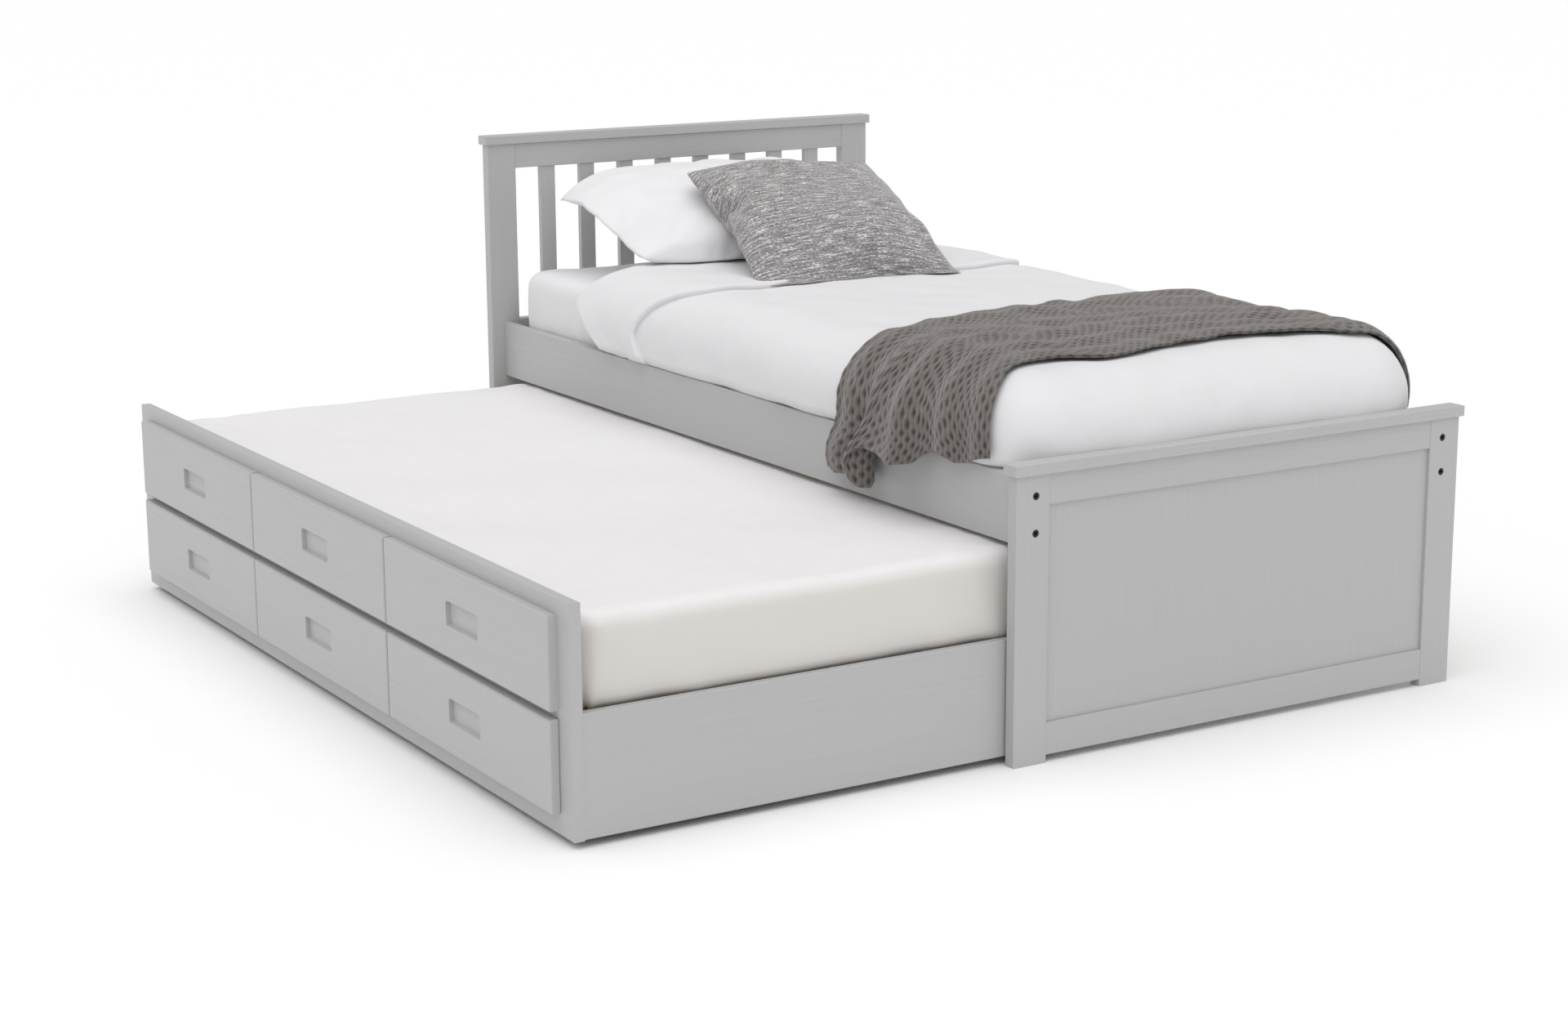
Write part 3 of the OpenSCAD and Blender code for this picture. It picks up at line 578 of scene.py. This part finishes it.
def inflate(name, length, width, cell, pressure, bow):
    """Two flat cloths sewn together round their edge and blown up by the cloth solver. Their sides bow
    out by `bow` of half their size, so that they come out straight when filled. Both layers share their
    edge points, and the map is the cloth's own flat one."""
    rows, columns = round(length / cell) + 1, round(width / cell) + 1
    u = np.linspace(-1, 1, rows)[:, None] + np.zeros((1, columns))
    v = np.linspace(-1, 1, columns)[None, :] + np.zeros((rows, 1))
    # a slight crown to start from, so that the pressure has a side to push on
    crown = 12 * MM * np.sqrt((1 - u**2) * (1 - v**2))
    x = u * length / 2 * (1 + bow * (1 - v**2))
    y = v * width / 2 * (1 + bow * (1 - u**2))
    sides = [np.stack([x, y, sign * crown], -1) for sign in (1, -1)]
    points = np.concatenate([side.reshape(-1, 3) for side in sides])
    flat = np.stack([x, y], -1).reshape(-1, 2)
    piece = mesh_object(name, points, two_layers(rows, columns), uv=np.concatenate([flat, flat]))
    cloth = piece.modifiers.new("cloth", "CLOTH")
    settings = cloth.settings
    settings.quality = 6
    settings.mass = 0.25
    settings.tension_stiffness = settings.compression_stiffness = 12
    settings.shear_stiffness = 4
    settings.bending_stiffness = 0.35
    settings.use_pressure = True
    settings.uniform_pressure_force = pressure
    settings.effector_weights.gravity = 0
    cloth.collision_settings.use_collision = False
    scene = bpy.context.scene
    for step in range(1, FILLING_FRAMES + 1):
        scene.frame_set(step)
    blown = piece.evaluated_get(bpy.context.evaluated_depsgraph_get()).data
    shape = np.empty(len(blown.vertices) * 3, np.float32)
    blown.vertices.foreach_get("co", shape)
    piece.modifiers.remove(cloth)
    scene.frame_set(1)
    return piece, shape.reshape(-1, 3).astype(float)


def set_points(piece, points):
    """Puts new places into the piece's mesh."""
    piece.data.vertices.foreach_set("co", points.astype(np.float32).ravel())
    piece.data.update()


def subdivide(piece):
    """Smooths the piece with one level of subdivision."""
    modifier = piece.modifiers.new("subdivision", "SUBSURF")
    modifier.levels = modifier.render_levels = 1


def soft_floor(height, floor, soft):
    """Height kept above a floor, easing onto it over a distance `soft`."""
    return floor + soft * np.logaddexp(0, (height - floor) / soft)


def lean_back(points, size, middle, lean, turn=0.0, pulled=0.0, taper=0.0):
    """Scales a cushion to its size, tilts it back about Y by lean, turns it about Z and moves it. The
    foot corners are pulled back towards the head by `pulled`, and the head edge is narrower by `taper`."""
    low, high = points.min(0), points.max(0)
    share = (points - (low + high) / 2) / (high - low) * 2
    local = share * np.array(size) / 2
    local[:, 0] -= pulled * np.clip(share[:, 0], 0, 1) ** 2 * np.abs(share[:, 1]) ** 3
    local[:, 1] *= 1 + taper * share[:, 0]
    tilt = np.array(Matrix.Rotation(turn, 3, "Z") @ Matrix.Rotation(lean, 3, "Y"))
    return local, local @ tilt.T + np.array(middle)


def cushion_place(node):
    """Middle and width of a leaning cushion, from its CAD node's box."""
    low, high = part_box(node)
    return np.array((low + high) / 2), high.y - low.y


def make_pillow(props):
    """Soft pillow, blown up, then settled: it leans on the headboard, its foot edge rests flat on the
    duvet and its corners droop."""
    middle, wide = cushion_place("pillow")
    piece, blown = inflate("pillow_case", 0.49, 0.73, 0.0125, 1.1, 0.08)
    size = (props.pillow_l, wide, props.pillow_t)
    local, placed = lean_back(blown, size, middle, props.pillow_lean, pulled=0.065)
    u, v = local[:, 0] / props.pillow_l * 2, local[:, 1] / wide * 2
    # the head corners droop, and the foot edge sinks on to what is under it
    drooping = np.clip(-u, 0, 1) ** 2 * np.abs(v) ** 3
    placed[:, 2] -= 0.095 * drooping + 0.016 * smooth(0.2, 1, u)
    # the headboard side is slack: its edge sinks to one level instead of arching
    ceiling = middle[2] + 0.085
    placed[:, 2] = -soft_floor(-placed[:, 2], -ceiling, 0.012)
    # slow lumps of filling, and creases that run out from the near foot corner
    spoke = np.arctan2(v + 1.05, 1.05 - u)
    from_corner = np.hypot(v + 1, 1 - u)
    fading = smooth(0.15, 0.4, from_corner) * smooth(1.2, 0.4, from_corner)
    creases = np.sin(26 * spoke + 2 * np.sin(5 * spoke)) * fading
    placed[:, 2] += 2.5 * MM * ripple(local[:, 0], local[:, 1], 0.12, 31) + 2.2 * MM * creases
    duvet_low, duvet_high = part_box("duvet")
    band_top = duvet_high.z + props.fold_height - DUVET_BODY
    on_band = placed[:, 0] > duvet_low.x - 0.03
    floor = np.where(on_band, band_top + 2 * MM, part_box("main_mattress")[1].z + 3 * MM)
    placed[:, 2] = soft_floor(placed[:, 2], floor, 0.006)
    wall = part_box("headboard_slats")[1].x + 8 * MM
    placed[:, 0] = soft_floor(placed[:, 0], wall, 0.01)
    set_points(piece, placed)
    subdivide(piece)
    return piece


def make_cushion(props):
    """Square scatter cushion, blown up tight, leaning on the pillow, with its foot edge on the duvet."""
    middle, wide = cushion_place("scatter_cushion")
    piece, blown = inflate("tweed_cushion", 0.47, 0.47, 0.0125, 1.5, 0.05)
    # a little longer than wide, as it lies stretched by its own weight, and that much nearer the foot
    size = (wide * 1.07, wide, props.cushion_t)
    middle = middle + (0.012, 0, 0)
    local, placed = lean_back(blown, size, middle, props.cushion_lean, props.cushion_turn, taper=0.04)
    placed[:, 2] -= 0.016 * smooth(0.3, 1, local[:, 0] / wide * 2)
    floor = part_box("duvet")[1].z + MM
    placed[:, 2] = soft_floor(placed[:, 2], floor, 0.006)
    set_points(piece, placed)
    subdivide(piece)
    return piece


# Edges of the throw: how far along the bed they lie, by the distance from the bed's middle measured
# over the cloth; then how far down the near hem hangs, by the share of the throw's width
THROW_HEAD = (
    (-0.66, 0.408), (-0.62, 0.408), (-0.59, 0.400), (-0.52, 0.435), (-0.42, 0.440), (-0.39, 0.445),
    (-0.30, 0.405), (-0.15, 0.352), (0.01, 0.338), (0.18, 0.317), (0.37, 0.320), (0.54, 0.340),
)
THROW_FOOT = (
    (-0.66, 0.930), (-0.52, 0.930), (-0.49, 0.910), (-0.46, 0.892), (-0.42, 0.872), (-0.39, 0.855),
    (-0.33, 0.820), (-0.26, 0.820), (-0.21, 0.862), (-0.15, 0.860), (-0.03, 0.825), (0.10, 0.817),
    (0.26, 0.838), (0.32, 0.885), (0.40, 0.905), (0.54, 0.930),
)
NEAR_HEM = (
    (0.00, -0.622), (0.06, -0.628), (0.17, -0.615), (0.21, -0.632), (0.27, -0.633), (0.31, -0.605),
    (0.35, -0.553), (0.41, -0.560), (0.48, -0.568), (0.59, -0.560), (0.615, -0.543), (0.67, -0.530),
    (0.75, -0.532), (0.78, -0.543), (0.84, -0.538), (0.95, -0.522), (1.00, -0.520),
)

# Gathers along the throw, as shares of its width: place, breadth, height and drift across the bed
THROW_RIDGES = (
    (0.10, 0.05, 0.7, 0.05), (0.30, 0.06, 0.5, 0.20), (0.52, 0.07, 1.0, 0.16), (0.74, 0.05, 0.7, 0.10),
    (0.93, 0.05, 0.5, 0.02),
)


def make_throw(props):
    """Knitted throw laid across the bed. A sheet is walked over the duvet and raised in long soft
    gathers. Near its head corner the near hem folds back on itself like an S, by letting the place along
    the bed run forwards, back and forwards again while the height off the duvet grows. Its two faces are
    pushed apart by the stitches: the product of two cosines, whose low places are the gaps of the knit."""
    block, duvet_hem_z = duvet_block()
    top, half_w = block[2], block[4]
    lowest_z = 0.30
    profile = edge_profile(top - lowest_z, DUVET_EDGE_R)
    walked_side = half_w - DUVET_EDGE_R + DUVET_EDGE_R * math.pi / 2
    points_per_stitch = 6
    across = round(props.throw_w / props.stitch_w)
    along = round(props.throw_l / props.stitch_l)
    rows, columns = across * points_per_stitch + 1, along * points_per_stitch + 1
    p = np.linspace(0, 1, rows)[:, None]
    q = np.linspace(0, 1, columns)[None, :]
    stitch_u, stitch_v = p * across + 0 * q, q * along + 0 * p
    far_hem = walked_side + top - DUVET_EDGE_R - duvet_hem_z - 5 * MM
    near_hem = through(NEAR_HEM, p)
    b = near_hem + (far_hem - near_hem) * q
    head, foot = through(THROW_HEAD, b), through(THROW_FOOT, b)
    # over the near edge the gathers stand higher; below it the S fold opens
    near = smooth(-half_w + 0.12, -half_w - 0.12, b)
    hung = smooth(-half_w + 0.03, -half_w - 0.15, b)
    # the S: forwards, back, forwards, about a line that runs down the hanging side
    from_s = p - 0.265
    turned = -0.062 * np.sin(from_s / 0.085 * 1.6) * np.exp(-((from_s / 0.15) ** 2))
    a = head + (foot - head) * p + turned * hung
    stacked = smooth(0.17, 0.33, p) * smooth(0.85, 0.36, p)
    ridges = 0
    for place, width, tall, drift in THROW_RIDGES:
        centre = place + drift * smooth(-0.6, 0.5, b) + 0.015 * np.sin(11 * b + 7 * place)
        ridges = ridges + tall * np.exp(-(((p - centre) / width) ** 2))
    lift = (
        DUVET_BODY
        + duvet_swell(a, b)
        + props.knit_t / 2
        + 4 * MM
        + (8 + 17 * near) * MM * ridges
        + 34 * MM * stacked * hung
        + 1.5 * MM * (1 + ripple(a, b, 0.09, 41))
    )
    middle = drape(block, profile, a, b, lift)
    normal = np.cross(np.gradient(middle, axis=0), np.gradient(middle, axis=1))
    normal /= np.linalg.norm(normal, axis=-1, keepdims=True)
    wave = np.cos(math.tau * stitch_u) * np.cos(math.tau * stitch_v)
    rib = 0.5 - 0.5 * np.cos(2 * math.tau * stitch_u)
    stitch = (1 - np.clip(-wave, 0, 1) ** 0.7) * (0.5 + 0.6 * rib)
    edge = np.minimum(np.minimum(stitch_u, across - stitch_u), np.minimum(stitch_v, along - stitch_v))
    closing = np.sqrt(1 - np.clip(1 - edge / 0.35, 0, 1) ** 2)
    half_t = closing * (props.knit_t / 2 + props.stitch_h * (stitch - 0.7))
    upper, lower = middle + normal * half_t[..., None], middle - normal * half_t[..., None]
    points = np.concatenate([upper.reshape(-1, 3), lower.reshape(-1, 3)])
    flat = np.stack([p * props.throw_w + 0 * q, q * props.throw_l + 0 * p], -1).reshape(-1, 2)
    uv = np.concatenate([flat, flat])
    # the stitch height also goes to the knit material, where it masks the painted shade in the gaps
    stitches = np.concatenate([stitch.ravel(), stitch.ravel()])
    return mesh_object("knitted_throw", points, two_layers(rows, columns), uv=uv, stitch=stitches)


# ---------- sizes, colours and buttons ----------


class BeddingSizes(bpy.types.PropertyGroup):
    """Sizes of the soft pieces."""

    def length(name, description, default):
        return bpy.props.FloatProperty(
            name=name,
            description=description,
            default=default,
            min=0.0,
            subtype="DISTANCE",
            unit="LENGTH",
        )

    def slope(name, description, degrees):
        return bpy.props.FloatProperty(
            name=name,
            description=description,
            default=math.radians(degrees),
            subtype="ANGLE",
            unit="ROTATION",
        )

    cell: length("Cell", "Spacing of the bedding's mesh", 0.012)
    corner_r: length("Mattress corner", "Radius of a mattress's upright corners", 0.055)
    edge_r: length("Mattress edge", "Radius of a mattress's top edges", 0.035)
    swell: length("Mattress swell", "Height of the slow swells in the fitted sheet", 0.0018)
    band: length("Turned-back band", "Width of the duvet's turned-back band", 0.375)
    fold_height: length("Fold height", "Height of the duvet where it lies double", 0.040)
    pillow_l: length("Pillow depth", "Depth of the pillow", 0.48)
    pillow_t: length("Pillow thickness", "Thickness of the pillow", 0.17)
    cushion_t: length("Cushion thickness", "Thickness of the scatter cushion", 0.14)
    pillow_lean: slope("Pillow lean", "Slope of the pillow", 20)
    cushion_lean: slope("Cushion lean", "Slope of the scatter cushion", 24)
    cushion_turn: slope("Cushion turn", "How far the scatter cushion is turned about the upright", -6)
    throw_w: length("Throw width", "Width of the throw as it was knitted", 0.64)
    throw_l: length("Throw length", "Length of the throw as it was knitted", 1.22)
    stitch_w: length("Stitch width", "Width of one repeat of the knit", 0.0245)
    stitch_l: length("Stitch length", "Length of one repeat of the knit", 0.025)
    stitch_h: length("Stitch height", "How deep the gaps of the knit are", 0.0042)
    knit_t: length("Knit thickness", "Thickness of the knitting", 0.007)


class FinishColours(bpy.types.PropertyGroup):
    """Colours of the paint and fabrics."""

    def colour(name, description, default):
        return bpy.props.FloatVectorProperty(
            name=name,
            description=description,
            default=linear(default),
            size=4,
            min=0.0,
            max=1.0,
            subtype="COLOR",
        )

    paint: colour("Paint", "Colour of the painted timber", "#B6B6B6")
    main_sheet: colour("Main sheet", "Colour of the main mattress's fitted sheet", "#E4E3E5")
    trundle_sheet: colour("Trundle sheet", "Colour of the trundle mattress's fitted sheet", "#E8E6E6")
    # painted shade on the trundle mattress's upright sides: darker and warmer than its top
    side_shade: colour("Border", "Colour of the trundle mattress's side panels", "#DAD6D2")
    duvet: colour("Duvet", "Colour of the duvet's cotton", "#E1E0E2")
    pillow: colour("Pillow", "Colour of the pillow's cotton", "#E8E7E9")
    tweed: colour("Tweed", "Colour of the scatter cushion's yarn", "#8E8A8B")
    fleck: colour("Fleck", "Colour of the tweed's light flecks", "#DDD9D8")
    knit: colour("Knit", "Colour of the throw's yarn", "#938B87")


def on_body(piece, body, node):
    """Puts a finished piece on its body and lets it stand for its CAD node."""
    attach(piece, body)
    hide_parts(node)


class TRUNDLEBED_OT_finish_frame(bpy.types.Operator):
    """Give every timber, metal and plastic part its finish"""

    bl_idname = "trundlebed.finish_frame"
    bl_label = "Finish Frame"

    def execute(self, context):
        colour = tuple(context.scene.finish_colours.paint)
        paint = {along: satin_paint(colour, along) for along in "xyz"}
        pine = {along: planed_pine(along) for along in "xyz"}
        bolts = metal("blackened_steel", "#2A2A2C", "#4A4A4D", 0.32, 0.8)
        zinc = metal("zinc_plated_steel", "#8E9092", "#B4B6B8", 0.38, 1.5)
        board, nylon = melamine_board(), moulded_nylon()
        # the first line with a word that is in the node's name gives its finish
        choices = (
            (("frame_bolts",), bolts),
            (("barrel_nuts", "castor_brackets", "castor_axles"), zinc),
            (("castor_wheel",), nylon),
            (("drawer_bottom",), board),
            (("bed_slats", "trundle_slats", "drawer_runners", "divider"), pine["y"]),
            (("ledges", "base_rail", "drawer_box"), pine["x"]),
            (("post", "headboard_slats", "_panel"), paint["z"]),
            (("_cap", "top_rail", "mid_rail", "bottom_rail", "trundle_end"), paint["y"]),
            (("side_rail", "fascia", "_front", "trundle_back"), paint["x"]),
        )
        # the soft solids, which the bedding stands for, take paint only so that no node is bare
        soft_finish = paint["x"]
        for name, node in frame["nodes"].items():
            found = [finish for words, finish in choices if any(word in name for word in words)]
            node.data.materials.clear()
            node.data.materials.append((found + [soft_finish])[0])
        return {"FINISHED"}


class TRUNDLEBED_OT_make_mattresses(bpy.types.Operator):
    """Make the two mattresses in their fitted sheets"""

    bl_idname = "trundlebed.make_mattresses"
    bl_label = "Make Mattresses"

    def execute(self, context):
        props = context.scene.bedding_sizes
        colours = context.scene.finish_colours
        # the trundle sheet's upright sides take painted shade, a darker and warmer colour
        side_shade = tuple(colours.side_shade)
        white = cotton("fitted_sheet_white", tuple(colours.main_sheet), 0.970, 1.2, 0.5)
        side_shaded = cotton("fitted_sheet_cream", tuple(colours.trundle_sheet), 0.971, 1.2, 0.5, side_shade)
        for node, material, seed in (("main_mattress", white, 11), ("trundle_mattress", side_shaded, 14)):
            piece = sheeted_mattress(f"{node}_sheet", node, props, seed)
            piece.data.materials.append(material)
            on_body(piece, NODE_BODY[node], node)
        return {"FINISHED"}


class TRUNDLEBED_OT_make_duvet(bpy.types.Operator):
    """Make the duvet with its head edge turned back"""

    bl_idname = "trundlebed.make_duvet"
    bl_label = "Make Duvet"

    def execute(self, context):
        duvet = make_duvet(context.scene.bedding_sizes)
        colour = tuple(context.scene.finish_colours.duvet)
        duvet.data.materials.append(cotton("duvet_cotton", colour, 0.970, 1.1, 0.9))
        on_body(duvet, "bed", "duvet")
        return {"FINISHED"}


class TRUNDLEBED_OT_make_pillow(bpy.types.Operator):
    """Make the pillow that leans on the headboard"""

    bl_idname = "trundlebed.make_pillow"
    bl_label = "Make Pillow"

    def execute(self, context):
        pillow = make_pillow(context.scene.bedding_sizes)
        colour = tuple(context.scene.finish_colours.pillow)
        pillow.data.materials.append(cotton("pillow_cotton", colour, 0.962, 1.1, 1.2))
        on_body(pillow, "bed", "pillow")
        return {"FINISHED"}


class TRUNDLEBED_OT_make_cushion(bpy.types.Operator):
    """Make the tweed scatter cushion"""

    bl_idname = "trundlebed.make_cushion"
    bl_label = "Make Cushion"

    def execute(self, context):
        cushion = make_cushion(context.scene.bedding_sizes)
        colours = context.scene.finish_colours
        cushion.data.materials.append(grey_tweed(tuple(colours.tweed), tuple(colours.fleck)))
        on_body(cushion, "bed", "scatter_cushion")
        return {"FINISHED"}


class TRUNDLEBED_OT_make_throw(bpy.types.Operator):
    """Make the knitted throw laid across the foot of the bed"""

    bl_idname = "trundlebed.make_throw"
    bl_label = "Make Throw"

    def execute(self, context):
        props = context.scene.bedding_sizes
        throw = make_throw(props)
        throw.data.materials.append(taupe_knit(tuple(context.scene.finish_colours.knit)))
        on_body(throw, "bed", "throw_blanket")
        return {"FINISHED"}


class TRUNDLEBED_OT_set_stage(bpy.types.Operator):
    """Set up the pale floor, the soft light and the camera"""

    bl_idname = "trundlebed.set_stage"
    bl_label = "Set Stage"

    def execute(self, context):
        scene = context.scene
        scene.view_settings.view_transform = "Standard"
        # far enough out that its edge stays below the horizon of every view
        half = 60.0
        corners = np.array([(-half, -half, 0), (half, -half, 0), (half, half, 0), (-half, half, 0)])
        floor = mesh_object("floor", corners, [[0, 1, 2, 3]])
        pale, _, _ = new_material("studio_floor", Roughness=0.9, Base_Color=linear("#FBFBFB"))
        floor.data.materials.append(pale)
        world = bpy.data.worlds.new("studio")
        world.use_nodes = True
        background = world.node_tree.nodes["Background"]
        background.inputs["Color"].default_value = (1, 1, 1, 1)
        background.inputs["Strength"].default_value = 0.50
        scene.world = world
        for name, power, spread, heading in (
            ("key_light", 1.7, 80, (-0.15, 0.18, -1.0)),
            ("fill_light", 0.28, 60, (-1.0, 0.45, -0.45)),
        ):
            lamp = bpy.data.lights.new(name, "SUN")
            lamp.energy = power
            lamp.angle = math.radians(spread)
            light = bpy.data.objects.new(name, lamp)
            light.rotation_mode = "QUATERNION"
            light.rotation_quaternion = Vector(heading).to_track_quat("-Z", "Y")
            scene.collection.objects.link(light)
        data = bpy.data.cameras.new("camera")
        data.lens = 65.21
        data.sensor_width = 36
        camera = bpy.data.objects.new("camera", data)
        yaw, pitch, roll = 1.0252, -0.2258, -0.0057
        turn = (
            Matrix.Rotation(yaw, 4, "Z")
            @ Matrix.Rotation(math.pi / 2 + pitch, 4, "X")
            @ Matrix.Rotation(roll, 4, "Z")
        )
        camera.matrix_world = Matrix.Translation((4.7516, -2.8046, 1.4982)) @ turn
        scene.collection.objects.link(camera)
        scene.camera = camera
        return {"FINISHED"}


STEPS = (
    TRUNDLEBED_OT_finish_frame,
    TRUNDLEBED_OT_make_mattresses,
    TRUNDLEBED_OT_make_duvet,
    TRUNDLEBED_OT_make_pillow,
    TRUNDLEBED_OT_make_cushion,
    TRUNDLEBED_OT_make_throw,
    TRUNDLEBED_OT_set_stage,
)


class TRUNDLEBED_PT_looks(bpy.types.Panel):
    """Buttons for each step, in order"""

    bl_idname = "TRUNDLEBED_PT_looks"
    bl_label = "Trundle Bed"
    bl_space_type = "VIEW_3D"
    bl_region_type = "UI"
    bl_category = "Trundle Bed"

    def draw(self, context):
        for step in STEPS:
            self.layout.operator(step.bl_idname)


CLASSES = (BeddingSizes, FinishColours, *STEPS, TRUNDLEBED_PT_looks)


def register():
    for item in CLASSES:
        bpy.utils.register_class(item)
    bpy.types.Scene.bedding_sizes = bpy.props.PointerProperty(type=BeddingSizes)
    bpy.types.Scene.finish_colours = bpy.props.PointerProperty(type=FinishColours)


def unregister():
    del bpy.types.Scene.bedding_sizes, bpy.types.Scene.finish_colours
    for item in reversed(CLASSES):
        bpy.utils.unregister_class(item)


def main():
    register()
    for step in STEPS:
        group, call = step.bl_idname.split(".")
        getattr(getattr(bpy.ops, group), call)()


if __name__ == "__main__":
    main()
